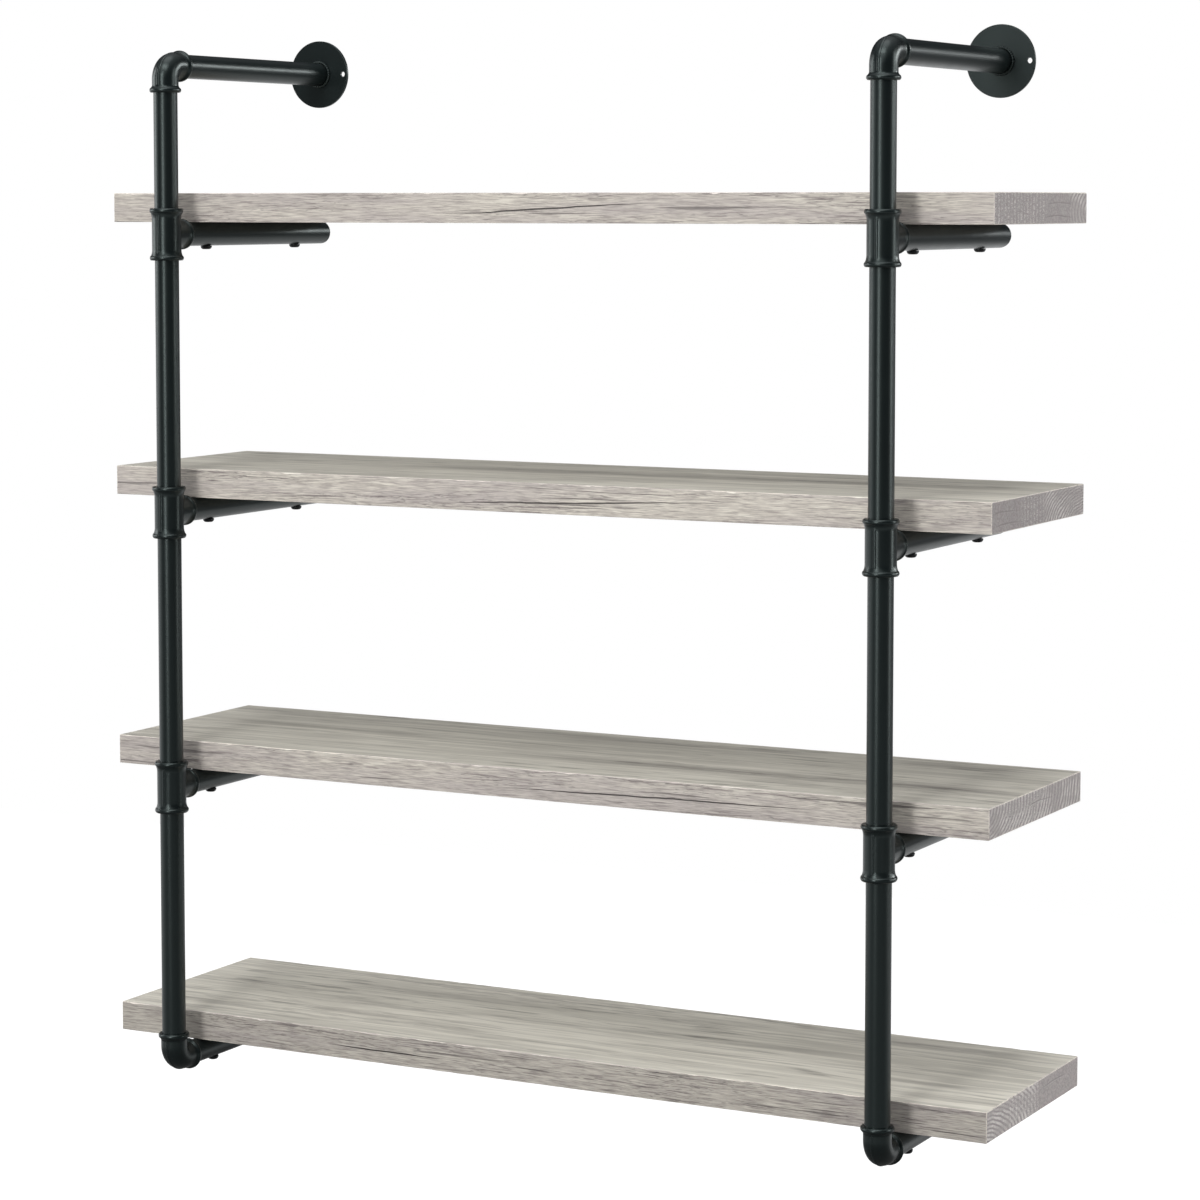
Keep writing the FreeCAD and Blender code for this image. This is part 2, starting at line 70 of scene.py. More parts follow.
class Shade:
    """A node's output that is added, multiplied and divided like a number."""

    def __init__(self, tree, socket):
        self.tree = tree
        self.socket = socket

    def node(self, kind, settings=None, inputs=None, output=0):
        """Any other node, with its settings first and then its sockets."""
        made = self.tree.nodes.new(kind)
        for name, value in (settings or {}).items():
            setattr(made, name, value)
        for name, value in (inputs or {}).items():
            if isinstance(value, Shade):
                self.tree.links.new(value.socket, made.inputs[name])
            else:
                made.inputs[name].default_value = value
        return Shade(self.tree, made.outputs[output])

    def maths(self, operation, *others):
        """One Math node on this value and up to two others."""
        places = {0: self}
        for index, other in enumerate(others):
            places[index + 1] = other
        return self.node("ShaderNodeMath", {"operation": operation}, places)

    def __add__(self, other):
        return self.maths("ADD", other)

    __radd__ = __add__

    def __sub__(self, other):
        return self.maths("SUBTRACT", other)

    def __rsub__(self, other):
        return self.maths("MULTIPLY", -1.0).maths("ADD", other)

    def __mul__(self, other):
        return self.maths("MULTIPLY", other)

    __rmul__ = __mul__

    def __truediv__(self, other):
        return self.maths("DIVIDE", other)

    def smooth(self, low, high):
        """0 below low, 1 above high, with a soft step between."""
        return self.node("ShaderNodeMapRange", {"interpolation_type": "SMOOTHSTEP"},
                         {"Value": self, "From Min": low, "From Max": high})

    def axis(self, index):
        """One coordinate of a vector."""
        return self.node("ShaderNodeSeparateXYZ", {}, {"Vector": self}, index)

    def vector(self, x, y, z):
        """The vector with these three coordinates."""
        return self.node("ShaderNodeCombineXYZ", {}, {"X": x, "Y": y, "Z": z})

    def stretched(self, scale, offset=(0.0, 0.0, 0.0)):
        """Coordinates scaled and moved, so that a pattern runs along one of them."""
        return self.node("ShaderNodeMapping", {"vector_type": "POINT"},
                         {"Vector": self, "Location": offset, "Scale": scale})

    def cloud(self, scale, detail=3.0, roughness=0.55):
        """Fractal noise about a half, at this scale."""
        return self.node("ShaderNodeTexNoise", {}, {
            "Vector": self, "Scale": scale, "Detail": detail, "Roughness": roughness})

    def between(self, first, second):
        """From the first point to the second as this value goes from 0 to 1."""
        return self.node("ShaderNodeMix", {"data_type": "VECTOR"}, {
            0: self, 4: first, 5: second}, 1)

    def blend(self, first, second):
        """From the first colour to the second as this value goes from 0 to 1."""
        first, second = [colour if isinstance(colour, Shade) else (*colour, 1.0)
                         for colour in (first, second)]
        return self.node("ShaderNodeMix", {"data_type": "RGBA"}, {
            0: self, 6: first, 7: second}, 2)


def new_finish(name, metallic=0.0, specular=0.5):
    """A material, its surface shader and its object coordinates."""
    material = bpy.data.materials.new(name)
    material.use_nodes = True
    tree = material.node_tree
    surface = tree.nodes["Principled BSDF"]
    surface.inputs["Metallic"].default_value = metallic
    surface.inputs["Specular IOR Level"].default_value = specular
    coordinates = tree.nodes.new("ShaderNodeTexCoord")
    return material, surface, Shade(tree, coordinates.outputs["Object"])


def wire(surface, name, value):
    """Feed a surface socket."""
    value.tree.links.new(value.socket, surface.inputs[name])


FLOOR_HEIGHT = -1.70
FLOOR_HALF = 3.8
FLOOR_GREYS = ((0.14, 0.14, 0.138), (0.16, 0.16, 0.16))
FLOOR_DRIFT_SCALE = 0.7
FLOOR_SHEEN = 0.1
FLOOR_ROUGHNESS = 0.9
# The floor's own glow, below the shelf and far from it, as the camera sees it and
# as the black paint mirrors it.
SEEN_GLOW = ((0.66, 0.66, 0.66), (0.98, 0.98, 0.98))
MIRRORED_GLOW = ((0.01, 0.01, 0.01), (0.70, 0.705, 0.71))
floor_mesh = bpy.data.meshes.new("studio_floor")
floor_mesh.from_pydata(
    [(-FLOOR_HALF, -FLOOR_HALF, FLOOR_HEIGHT), (FLOOR_HALF, -FLOOR_HALF, FLOOR_HEIGHT),
     (FLOOR_HALF, FLOOR_HALF, FLOOR_HEIGHT), (-FLOOR_HALF, FLOOR_HALF, FLOOR_HEIGHT)],
    [], [(0, 1, 2, 3)])
floor = bpy.data.objects.new("studio_floor", floor_mesh)
bpy.context.scene.collection.objects.link(floor)
# the floor itself is dark grey; its pale look is its own glow
floor_paint, floor_surface, floor_place = new_finish("studio_floor_glowing", specular=FLOOR_SHEEN)
floor_drift = floor_place.cloud(FLOOR_DRIFT_SCALE)
wire(floor_surface, "Base Color", floor_drift.blend(*FLOOR_GREYS))
floor_surface.inputs["Roughness"].default_value = FLOOR_ROUGHNESS
floor_surface.inputs["Emission Strength"].default_value = 1.0
floor_x, floor_y = floor_place.axis(0), floor_place.axis(1)
reach = (floor_x * floor_x + floor_y * floor_y).maths("SQRT")
seen = reach.smooth(0.6, 1.8).blend(*SEEN_GLOW)
mirrored = reach.smooth(2.3, 3.0).maths("MAXIMUM", floor_y.smooth(0.7, 1.4))
mirrored = mirrored.blend(*MIRRORED_GLOW)
camera_ray = floor_place.node("ShaderNodeLightPath")
wire(floor_surface, "Emission Color", camera_ray.blend(mirrored, seen))
floor_mesh.materials.append(floor_paint)

BACKDROP_WHITE = (1.0, 1.0, 1.0)
UNLIT_ROOM = (0.03, 0.032, 0.035)
world = bpy.data.worlds.new("studio_backdrop")
bpy.context.scene.world = world
world.use_nodes = True
world_tree = world.node_tree
direction = Shade(world_tree, world_tree.nodes.new("ShaderNodeTexCoord").outputs["Generated"])
rightward, backward, upward = direction.axis(0), direction.axis(1), direction.axis(2)
leftward, downward = rightward * -1.0, upward * -1.0
eye_level = upward.smooth(-0.30, -0.12) * (1.0 - upward.smooth(0.10, 0.30))
right_wall = (rightward * 0.5 + backward * 0.86).smooth(0.84, 0.98) * eye_level
far_floor = backward.smooth(0.55, 0.80) * downward.smooth(0.06, 0.18)
window = (rightward * 0.66 + backward * 0.75).smooth(0.940, 0.985)
window = window * upward.smooth(0.04, 0.17) * (1.0 - upward.smooth(0.24, 0.38))
ROOM = [
    # where each part of the room lies and its light; a later part covers an earlier one
    (downward.smooth(0.02, 0.18), (0.22, 0.225, 0.23)),                       # floor
    (upward.smooth(0.40, 0.95), (0.60, 0.615, 0.63)),                         # ceiling
    (upward.smooth(0.90, 0.97), (2.6, 2.6, 2.65)),                            # ceiling lamp
    ((backward * -0.75 + upward * 0.66).smooth(0.78, 0.95), (1.00, 1.01, 1.02)),  # front lamp
    (leftward.smooth(0.60, 0.92) * eye_level, (1.30, 1.32, 1.34)),            # left wall
    (right_wall * upward.smooth(-0.14, 0.0), (0.33, 0.34, 0.35)),             # right wall
    (far_floor * leftward.smooth(-0.10, 0.16), (1.20, 1.21, 1.23)),           # lit far floor
    (window, (14.0, 14.1, 14.2)),                                             # bright window
]
glow = UNLIT_ROOM
for part, light in ROOM:
    glow = part.blend(glow, light)
glow = direction.node("ShaderNodeLightPath").blend(glow, BACKDROP_WHITE)
wire(world_tree.nodes["Background"], "Color", glow)

SOFT_BOXES = [
    # name, place, aimed at, width, height, watts
    ("front_box", (-0.1, -3.9, 0.40), (0.0, -0.2, -0.3), 0.70, 3.0, 66.0),
    ("side_box", (3.2, 0.9, 0.1), (0.0, -0.2, -0.5), 0.7, 2.6, 32.0),
    ("left_box", (-3.2, -0.8, 0.5), (0.0, -0.2, -0.7), 1.0, 1.8, 24.0),
    ("top_box", (0.2, -2.0, 2.5), (0.0, -0.1, -0.4), 2.4, 1.0, 42.0),
]
for box_name, place, aim, width, height, watts in SOFT_BOXES:
    lamp_data = bpy.data.lights.new(box_name, "AREA")
    lamp_data.shape = "RECTANGLE"
    lamp_data.size = width
    lamp_data.size_y = height
    lamp_data.energy = watts
    lamp = bpy.data.objects.new(box_name, lamp_data)
    bpy.context.scene.collection.objects.link(lamp)
    lamp.location = place
    lamp.rotation_euler = (Vector(aim) - Vector(place)).to_track_quat("-Z", "Y").to_euler()


# Side frames: one inch steel tube, drawn and spray-painted satin black. The tubes
# are threaded into the fittings, which are iron castings under the same paint.
TUBE_BLACK = (0.0050, 0.0078, 0.0082)
CASTING_BLACK = (0.0050, 0.0076, 0.0080)
PAINT_SHEEN = 0.4
PAINT_GLINT = (0.84, 1.0, 0.97, 1.0)
PAINT_DEEP_SHARE = 0.75
PAINT_DRIFT_SCALE = 9.0
PAINT_MOTTLE_SCALE = 45.0
PAINT_SMEAR_SCALES = (60.0, 60.0, 3.0)
PAINT_LUMP_SCALE = 75.0
TUBE_ROUGHNESS = 0.33
CASTING_ROUGHNESS = 0.30
TUBE_GRAIN_SCALE = 120.0
TUBE_GRAIN_DEPTH = 0.000001
CASTING_GRAIN_SCALE = 260.0
CASTING_GRAIN_DEPTH = 0.000003
CASTING_LUMP_DEPTH = 0.00006


def emboss(surface, height, strength=1.0):
    """Relief from a height field in metres."""
    wire(surface, "Normal", height.node("ShaderNodeBump", {}, {
        "Height": height, "Distance": 1.0, "Strength": strength}))


def toned(tone, share):
    """The same tone, lighter or darker by this share."""
    return tuple(min(1.0, channel * share) for channel in tone)


def black_paint(name, tone, roughness, grain_scale, grain_depth, lump_depth=0.0):
    """Satin black paint over drawn tube or over a rougher casting."""
    material, surface, place = new_finish(name, specular=PAINT_SHEEN)
    surface.inputs["Specular Tint"].default_value = PAINT_GLINT
    drift = place.cloud(PAINT_DRIFT_SCALE).smooth(0.3, 0.7)
    wire(surface, "Base Color", drift.blend(toned(tone, PAINT_DEEP_SHARE), tone))
    mottle = place.cloud(PAINT_MOTTLE_SCALE, 2.0)
    smear = place.stretched(PAINT_SMEAR_SCALES).cloud(1.0, 2.0)
    wire(surface, "Roughness", roughness + (mottle - 0.5) * 0.04 + (smear - 0.5) * 0.06)
    grain = place.cloud(grain_scale, 2.0, 0.5)
    lumps = place.cloud(PAINT_LUMP_SCALE, 2.0)
    emboss(surface, grain * grain_depth + lumps * lump_depth)
    return material


def dress(node_name, material):
    """Give a carried-over solid its finish."""
    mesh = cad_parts[node_name].data
    mesh.materials.clear()
    mesh.materials.append(material)


tube_paint = black_paint("tube_satin_black", TUBE_BLACK, TUBE_ROUGHNESS,
                         TUBE_GRAIN_SCALE, TUBE_GRAIN_DEPTH)
casting_paint = black_paint("casting_satin_black", CASTING_BLACK, CASTING_ROUGHNESS,
                            CASTING_GRAIN_SCALE, CASTING_GRAIN_DEPTH, CASTING_LUMP_DEPTH)
for side in ("left", "right"):
    for piece in ("wall_flange", "top_pipe", "upright_1", "upright_2", "upright_3", "upright_4",
                  "arm_1", "arm_2", "arm_3", "arm_4"):
        dress(side + "_" + piece, tube_paint)
    for piece in ("top_elbow", "tee_1", "tee_2", "tee_3", "bottom_elbow"):
        dress(side + "_" + piece, casting_paint)

# Mould seams: where the two halves of a fitting's sand mould met, a low flat ridge
# is cast with the fitting. It stands down the front of each tee and round the
# outside of each elbow, under the same paint.
SEAM_HALF_WIDTH = 0.0017
SEAM_HALF_HEIGHT = 0.00065
SEAM_SUNK = 0.00015
SEAM_REACH = 0.0205
SEAM_SIDES = 16
BEND_STEPS = 24
TEE_RADIUS = 0.0155          # of the fittings' bodies, between their bands
ELBOW_RADIUS = 0.014
ELBOW_BEND = 0.015


def new_form(name, inputs):
    """A Geometry Nodes tree with these named inputs, and each input's value."""
    tree = bpy.data.node_groups.new(name, "GeometryNodeTree")
    tree.interface.new_socket("Geometry", in_out="OUTPUT", socket_type="NodeSocketGeometry")
    for label, kind in inputs:
        tree.interface.new_socket(label, in_out="INPUT", socket_type="NodeSocket" + kind)
    given = tree.nodes.new("NodeGroupInput")
    return tree, [Shade(tree, given.outputs[label]) for label, _ in inputs]


def end_form(tree, shape, paint):
    """The tree's end: a plain mesh in one material."""
    real = shape.node("GeometryNodeRealizeInstances", {}, {"Geometry": shape})
    painted = shape.node("GeometryNodeSetMaterial", {}, {"Geometry": real, "Material": paint})
    tree.links.new(painted.socket, tree.nodes.new("NodeGroupOutput").inputs["Geometry"])


def seam_nodes():
    """A flattened bar along three points, its corner rounded to a bend."""
    tree, (start, corner, end, bend, width, height, paint) = new_form("mould_seam", [
        ("Start", "Vector"), ("Corner", "Vector"), ("End", "Vector"), ("Bend", "Float"),
        ("Width", "Float"), ("Height", "Float"), ("Paint", "Material")])
    index = bend.node("GeometryNodeInputIndex")
    early = index.maths("MINIMUM", 1.0).between(start, corner)
    spot = (index - 1.0).maths("MAXIMUM", 0.0).between(early, end)
    line = bend.node("GeometryNodeMeshLine", {}, {"Count": 3})
    laid = bend.node("GeometryNodeSetPosition", {}, {"Geometry": line, "Position": spot})
    curve = bend.node("GeometryNodeMeshToCurve", {}, {"Mesh": laid})
    rounded = bend.node("GeometryNodeFilletCurve", {"mode": "POLY"}, {
        "Curve": curve, "Count": BEND_STEPS, "Radius": bend})
    faced = bend.node("GeometryNodeSetCurveNormal", {"mode": "FREE"}, {
        "Curve": rounded, "Normal": (1.0, 0.0, 0.0)})
    circle = bend.node("GeometryNodeCurvePrimitiveCircle", {}, {
        "Resolution": SEAM_SIDES, "Radius": 1.0})
    flat = bend.node("GeometryNodeTransform", {}, {
        "Geometry": circle, "Scale": width.vector(width, height, 1.0)})
    swept = bend.node("GeometryNodeCurveToMesh", {}, {
        "Curve": faced, "Profile Curve": flat, "Fill Caps": True})
    end_form(tree, swept, paint)
    return tree


def grown(name, tree, values):
    """The plain mesh that a node group makes with these named values."""
    holder = bpy.data.objects.new(name, bpy.data.meshes.new(name + "_seed"))
    bpy.context.scene.collection.objects.link(holder)
    modifier = holder.modifiers.new(name, "NODES")
    modifier.node_group = tree
    for item in tree.interface.items_tree:
        if item.in_out == "INPUT":
            modifier[item.identifier] = values[item.name]
    mesh = bpy.data.meshes.new_from_object(holder.evaluated_get(
        bpy.context.evaluated_depsgraph_get()))
    holder.modifiers.remove(modifier)
    holder.data = mesh
    mesh.name = name
    return holder


seam_tree = seam_nodes()
for side in ("left", "right"):
    low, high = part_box(side + "_upright_1")
    axis_x, axis_y = (low.x + high.x) / 2.0, (low.y + high.y) / 2.0
    for fitting, tube in (("top_elbow", "top_pipe"), ("tee_1", "arm_1"), ("tee_2", "arm_2"),
                          ("tee_3", "arm_3"), ("bottom_elbow", "arm_4")):
        low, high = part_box(side + "_" + tube)
        axis_z = (low.z + high.z) / 2.0
        if fitting.startswith("tee"):
            out = TEE_RADIUS - SEAM_SUNK
            points = [(-out, -SEAM_REACH), (-out, 0.0), (-out, SEAM_REACH)]
            bend = 0.0
        else:
            out = ELBOW_RADIUS - SEAM_SUNK
            up = 1.0 if fitting == "top_elbow" else -1.0
            points = [(-out, -SEAM_REACH * up), (-out, out * up), (SEAM_REACH, out * up)]
            bend = ELBOW_BEND + out
        start, corner, end = [(axis_x, axis_y + y, axis_z + z) for y, z in points]
        seam = grown(side + "_" + fitting + "_seam", seam_tree, {
            "Start": start, "Corner": corner, "End": end, "Bend": bend,
            "Width": SEAM_HALF_WIDTH, "Height": SEAM_HALF_HEIGHT, "Paint": casting_paint})
        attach(seam, "root")

# Weld beads: one run of fused steel round each level tube where it meets its wall
# flange, laid down in small overlapping ripples and painted with the frame.
WELD_ROUGHNESS = 0.52
RIPPLES = 17.0
RIPPLE_HEIGHT = 0.0004
RIPPLE_WANDER = 0.8
WANDER_SCALE = 160.0
BEAD_STEPS = 288
BEAD_SIDES = 20
BEAD_CENTRE_SHARE = 0.40     # of the bead's leg, out from the tube and off the flange
BEAD_RADIUS_SHARE = 0.53
weld_paint = black_paint("weld_satin_black", CASTING_BLACK, WELD_ROUGHNESS,
                         CASTING_GRAIN_SCALE, CASTING_GRAIN_DEPTH, CASTING_LUMP_DEPTH)


def bead_nodes():
    """A ripple-faced ring: a circle sweeps round the tube and is cut flat on both sides."""
    tree, (tube, leg, ripples, ripple_height, seed, middle, paint) = new_form("weld_bead", [
        ("Tube Radius", "Float"), ("Leg", "Float"), ("Ripples", "Float"),
        ("Ripple Height", "Float"), ("Seed", "Float"), ("Place", "Vector"),
        ("Paint", "Material")])
    ring = tube.node("GeometryNodeCurvePrimitiveCircle", {}, {
        "Resolution": BEAD_STEPS, "Radius": tube + leg * BEAD_CENTRE_SHARE})
    around = tube.node("GeometryNodeSplineParameter")
    kept = tube.node("GeometryNodeCaptureAttribute", {}, {"Geometry": ring})
    capture = kept.socket.node
    capture.capture_items.new("FLOAT", "around")
    tree.links.new(around.socket, capture.inputs["around"])
    profile = tube.node("GeometryNodeCurvePrimitiveCircle", {}, {
        "Resolution": BEAD_SIDES, "Radius": leg * BEAD_RADIUS_SHARE})
    swept = tube.node("GeometryNodeCurveToMesh", {}, {"Curve": kept, "Profile Curve": profile})
    turn = Shade(tree, capture.outputs["around"])
    spot = tube.node("GeometryNodeInputPosition")
    unevenness = spot.node("ShaderNodeTexNoise", {"noise_dimensions": "4D"}, {
        "Vector": spot, "W": seed, "Scale": WANDER_SCALE, "Detail": 1.0})
    x, y, z = spot.axis(0), spot.axis(1), spot.axis(2) + leg * BEAD_CENTRE_SHARE
    beat = (turn * ripples + unevenness * RIPPLE_WANDER) * math.tau
    swell = 1.0 + (beat.maths("SINE").maths("ABSOLUTE") - 0.5) * ripple_height / leg
    radius = (x * x + y * y).maths("SQRT")
    rise = (radius - tube) * swell
    share = (rise.maths("MAXIMUM", 0.0) + tube) / radius
    moved = spot.vector(x * share, y * share, (z * swell).maths("MAXIMUM", 0.0))
    shaped = tube.node("GeometryNodeSetPosition", {}, {"Geometry": swept, "Position": moved})
    stood = tube.node("GeometryNodeTransform", {}, {
        "Geometry": shaped, "Rotation": (math.pi / 2.0, 0.0, 0.0), "Translation": middle})
    end_form(tree, stood, paint)
    return tree


bead_tree = bead_nodes()
for side, seed in (("left", 1.0), ("right", 2.0)):
    low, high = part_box(side + "_flange_weld")
    leg = high.y - low.y
    bead = grown(side + "_weld_bead", bead_tree, {
        "Tube Radius": (high.z - low.z) / 2.0 - leg, "Leg": leg, "Ripples": RIPPLES,
        "Ripple Height": RIPPLE_HEIGHT, "Seed": seed,
        "Place": ((low.x + high.x) / 2.0, high.y, (low.z + high.z) / 2.0),
        "Paint": weld_paint})
    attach(bead, "root")
    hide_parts(side + "_flange_weld")

# Arm plugs: black plastic caps pushed into the arms' open ends, moulded with a
# fine matte grain.
PLUG_BLACKS = ((0.012, 0.012, 0.013), (0.020, 0.020, 0.021))
PLUG_ROUGHNESS = 0.55
PLUG_DRIFT_SCALE = 60.0
PLUG_GRAIN_SCALE = 1800.0
PLUG_GRAIN_DEPTH = 0.00004
plug_plastic, plug_surface, plug_place = new_finish("plug_matte_plastic")
plug_grain = plug_place.cloud(PLUG_GRAIN_SCALE, 2.0)
wire(plug_surface, "Base Color", plug_place.cloud(PLUG_DRIFT_SCALE).blend(*PLUG_BLACKS))
wire(plug_surface, "Roughness", PLUG_ROUGHNESS + (plug_grain - 0.5) * 0.2)
emboss(plug_surface, plug_grain * PLUG_GRAIN_DEPTH)
for side in ("left", "right"):
    for tier in range(1, 5):
        dress("%s_arm_plug_%d" % (side, tier), plug_plastic)

# Bolts and inserts: button-head machine screws with a black oxide finish, which
# run up through the arms into zinc-plated sleeves let into the boards.
OXIDE_BLACKS = ((0.010, 0.011, 0.012), (0.022, 0.023, 0.026))
OXIDE_ROUGHNESS = 0.34
OXIDE_GRAIN_SCALE = 600.0
OXIDE_GRAIN_DEPTH = 0.00003
ZINC_GREYS = ((0.50, 0.49, 0.46), (0.66, 0.64, 0.58))
ZINC_ROUGHNESS = 0.35
ZINC_GRAIN_SCALE = 500.0
bolt_steel, bolt_surface, bolt_place = new_finish("bolt_black_oxide", metallic=0.6)
bolt_grain = bolt_place.cloud(OXIDE_GRAIN_SCALE)
wire(bolt_surface, "Base Color", bolt_grain.blend(*OXIDE_BLACKS))
wire(bolt_surface, "Roughness", OXIDE_ROUGHNESS + (bolt_grain - 0.5) * 0.2)
emboss(bolt_surface, bolt_grain * OXIDE_GRAIN_DEPTH)
insert_zinc, insert_surface, insert_place = new_finish("insert_zinc", metallic=1.0)
insert_grain = insert_place.cloud(ZINC_GRAIN_SCALE)
wire(insert_surface, "Base Color", insert_grain.blend(*ZINC_GREYS))
wire(insert_surface, "Roughness", ZINC_ROUGHNESS + (insert_grain - 0.5) * 0.2)
for tier in range(1, 5):
    dress("shelf_%d_bolts" % tier, bolt_steel)
    dress("shelf_%d_inserts" % tier, insert_zinc)

# Boards: particle-board planks wrapped in a printed and embossed grey-oak
# laminate. The front and back edges are painted lighter and warmer than the top,
# the lightness partly the print and partly painted light and shade; the ends carry
# printed growth rings, and the arrises are a little chipped and worn, their strips
# painted lighter as rubbed wear and as a painted highlight.
STATIONS = 220
ARRIS_DEPTH = 0.0008
ARRIS_STEPS = (0.0, 0.25, 0.6, 1.0)
ARRIS_BULGE = 0.3
WEAR_PER_METRE = 24.0
WEAR_LEAST = 0.75
WEAR_SPREAD = 0.45
WEAR_SEED = 40
TIER_STEP = 7.3
CORNER_STEP = 3.1
CHIPS = 16
CHIP_LENGTHS = (0.002, 0.007)
CHIP_DEPTHS = (0.3, 1.5)
FLAT_FACE = 0.985
INSERT_RADIUS = 0.005
BORE_PLAY = 0.0001
BORE_SPARE = 0.002
BORE_SIDES = 48


def section_at(depth_range, height_range, arris):
    """Corners of a board's section with each arris eased by its own amount."""
    (front, back), (low, high) = depth_range, height_range
    corners = [(front, low, 1, 1), (back, low, -1, 1), (back, high, -1, -1), (front, high, 1, -1)]
    points = []
    for index, (y, z, inward, upward) in enumerate(corners):
        ease = arris[index]
        first = (y, z + upward * ease)
        middle = (y + inward * ease * ARRIS_BULGE, z + upward * ease * ARRIS_BULGE)
        last = (y + inward * ease, z)
        points += [first, middle, last] if index in (0, 2) else [last, middle, first]
    return points


def bore_for_inserts(board, tier):
    """Cut a blind bore from below for each of the board's four inserts."""
    low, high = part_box("shelf_%d_inserts" % tier)
    bits = bmesh.new()
    for x in (low.x + INSERT_RADIUS, high.x - INSERT_RADIUS):
        for y in (low.y + INSERT_RADIUS, high.y - INSERT_RADIUS):
            bmesh.ops.create_cone(
                bits, cap_ends=True, segments=BORE_SIDES, radius1=INSERT_RADIUS + BORE_PLAY,
                radius2=INSERT_RADIUS + BORE_PLAY, depth=high.z - low.z + BORE_SPARE * 2,
                matrix=Matrix.Translation((x, y, (low.z + high.z) / 2.0)))
    bit_mesh = bpy.data.meshes.new("insert_bits")
    bits.to_mesh(bit_mesh)
    bits.free()
    bit = bpy.data.objects.new("insert_bits", bit_mesh)
    bpy.context.scene.collection.objects.link(bit)
    cut = board.modifiers.new("insert_bores", "BOOLEAN")
    cut.operation = "DIFFERENCE"
    cut.solver = "EXACT"
    cut.object = bit
    bored = bpy.data.meshes.new_from_object(board.evaluated_get(
        bpy.context.evaluated_depsgraph_get()))
    board.modifiers.remove(cut)
    bpy.data.objects.remove(bit)
    board.data = bored


def make_board(tier):
    """A plank with worn arrises, bored from below, in place of its plain solid."""
    low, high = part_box("shelf_%d" % tier)
    mesh = bmesh.new()
    dice = random.Random(WEAR_SEED + tier)
    chips = [[(dice.uniform(low.x, high.x), dice.uniform(*CHIP_LENGTHS),
               dice.uniform(*CHIP_DEPTHS)) for _ in range(CHIPS)] for corner in range(4)]
    places = [low.x + ARRIS_DEPTH * share for share in ARRIS_STEPS]
    inner = high.x - low.x - ARRIS_DEPTH * 2
    places += [low.x + ARRIS_DEPTH + inner * step / STATIONS for step in range(1, STATIONS)]
    places += [high.x - ARRIS_DEPTH * share for share in reversed(ARRIS_STEPS)]
    rings = []
    for x in places:
        to_end = min(x - low.x, high.x - x) / ARRIS_DEPTH
        inset = ARRIS_DEPTH * (1.0 - math.sqrt(1.0 - (1.0 - min(to_end, 1.0)) ** 2))
        arris = []
        for corner in range(4):
            spot = (x * WEAR_PER_METRE, tier * TIER_STEP, corner * CORNER_STEP)
            wear = noise.noise(Vector(spot))
            ease = ARRIS_DEPTH * (WEAR_LEAST + WEAR_SPREAD * wear)
            for middle, length, depth in chips[corner]:
                ease += ARRIS_DEPTH * depth * math.exp(-((x - middle) / length) ** 2)
            arris.append(ease)
        ring = section_at((low.y + inset, high.y - inset), (low.z + inset, high.z - inset), arris)
        rings.append([mesh.verts.new((x, y, z)) for y, z in ring])
    count = len(rings[0])
    for left, right in zip(rings, rings[1:]):
        for index in range(count):
            after = (index + 1) % count
            mesh.faces.new((left[index], left[after], right[after], right[index]))
    mesh.faces.new(rings[0])
    mesh.faces.new(list(reversed(rings[-1])))
    bmesh.ops.recalc_face_normals(mesh, faces=mesh.faces)
    for face in mesh.faces:
        normal = face.normal
        facings = (abs(normal.z), abs(normal.y), abs(normal.x))     # top, edge, end
        flat = [index for index, facing in enumerate(facings) if facing > FLAT_FACE]
        face.material_index = flat[0] if flat else len(facings)
    data = bpy.data.meshes.new("board_%d" % tier)
    mesh.to_mesh(data)
    mesh.free()
    board = bpy.data.objects.new("board_%d" % tier, data)
    bpy.context.scene.collection.objects.link(board)
    bore_for_inserts(board, tier)
    return board


LAMINATE_SHEEN = 0.22
BOARD_SHIFT = (3.71, 1.37, 0.77)     # moves each board's pattern away from the last one's


def grain_field(place, board, sway_height):
    """Coordinates of one board's grain: a call gives noise drawn out along X."""
    spot = place.stretched((1.0, 1.0, 1.0), [board * shift for shift in BOARD_SHIFT])
    sway = spot.stretched((8.0, 22.0, 30.0)).cloud(1.0, 2.0) - 0.5
    bent = spot.vector(spot.axis(0), spot.axis(1) + sway * sway_height * 3.0,
                       spot.axis(2) + sway * sway_height)

    def strands(along, across, detail=2.0, offset=0.0):
        return bent.stretched((along, across, across), (offset, offset * 1.7, offset * 0.6)
                              ).cloud(1.0, detail)

    return strands


CRACK_HALF_WIDTH = 0.00075
CRACK_POINT = 0.00001
CRACK_WANDER = 0.006
EDGE_SWAY = 0.0014
EDGE_ROUGHNESS = 0.52
EDGE_EMBOSS = 0.9
EDGE_RELIEF = {"fibre": 0.00016, "cream": 0.0001, "split": 0.0007, "hair": 0.0003}


def crack_mask(place, crack, middle, sway):
    """A thin split: it starts and ends in a point and wanders a little."""
    start, end, height, slope = crack
    x = place.axis(0)
    along = (x - start) / (end - start)
    line = (x - start) * slope + (height + middle) + sway
    off = (place.axis(2) - line).maths("ABSOLUTE")
    body = along.smooth(0.0, 0.35) * (1.0 - along.smooth(0.6, 1.0))
    width = body * CRACK_HALF_WIDTH + CRACK_POINT
    return (1.0 - (off / width).smooth(0.5, 1.3)) * body.smooth(0.0, 0.05)


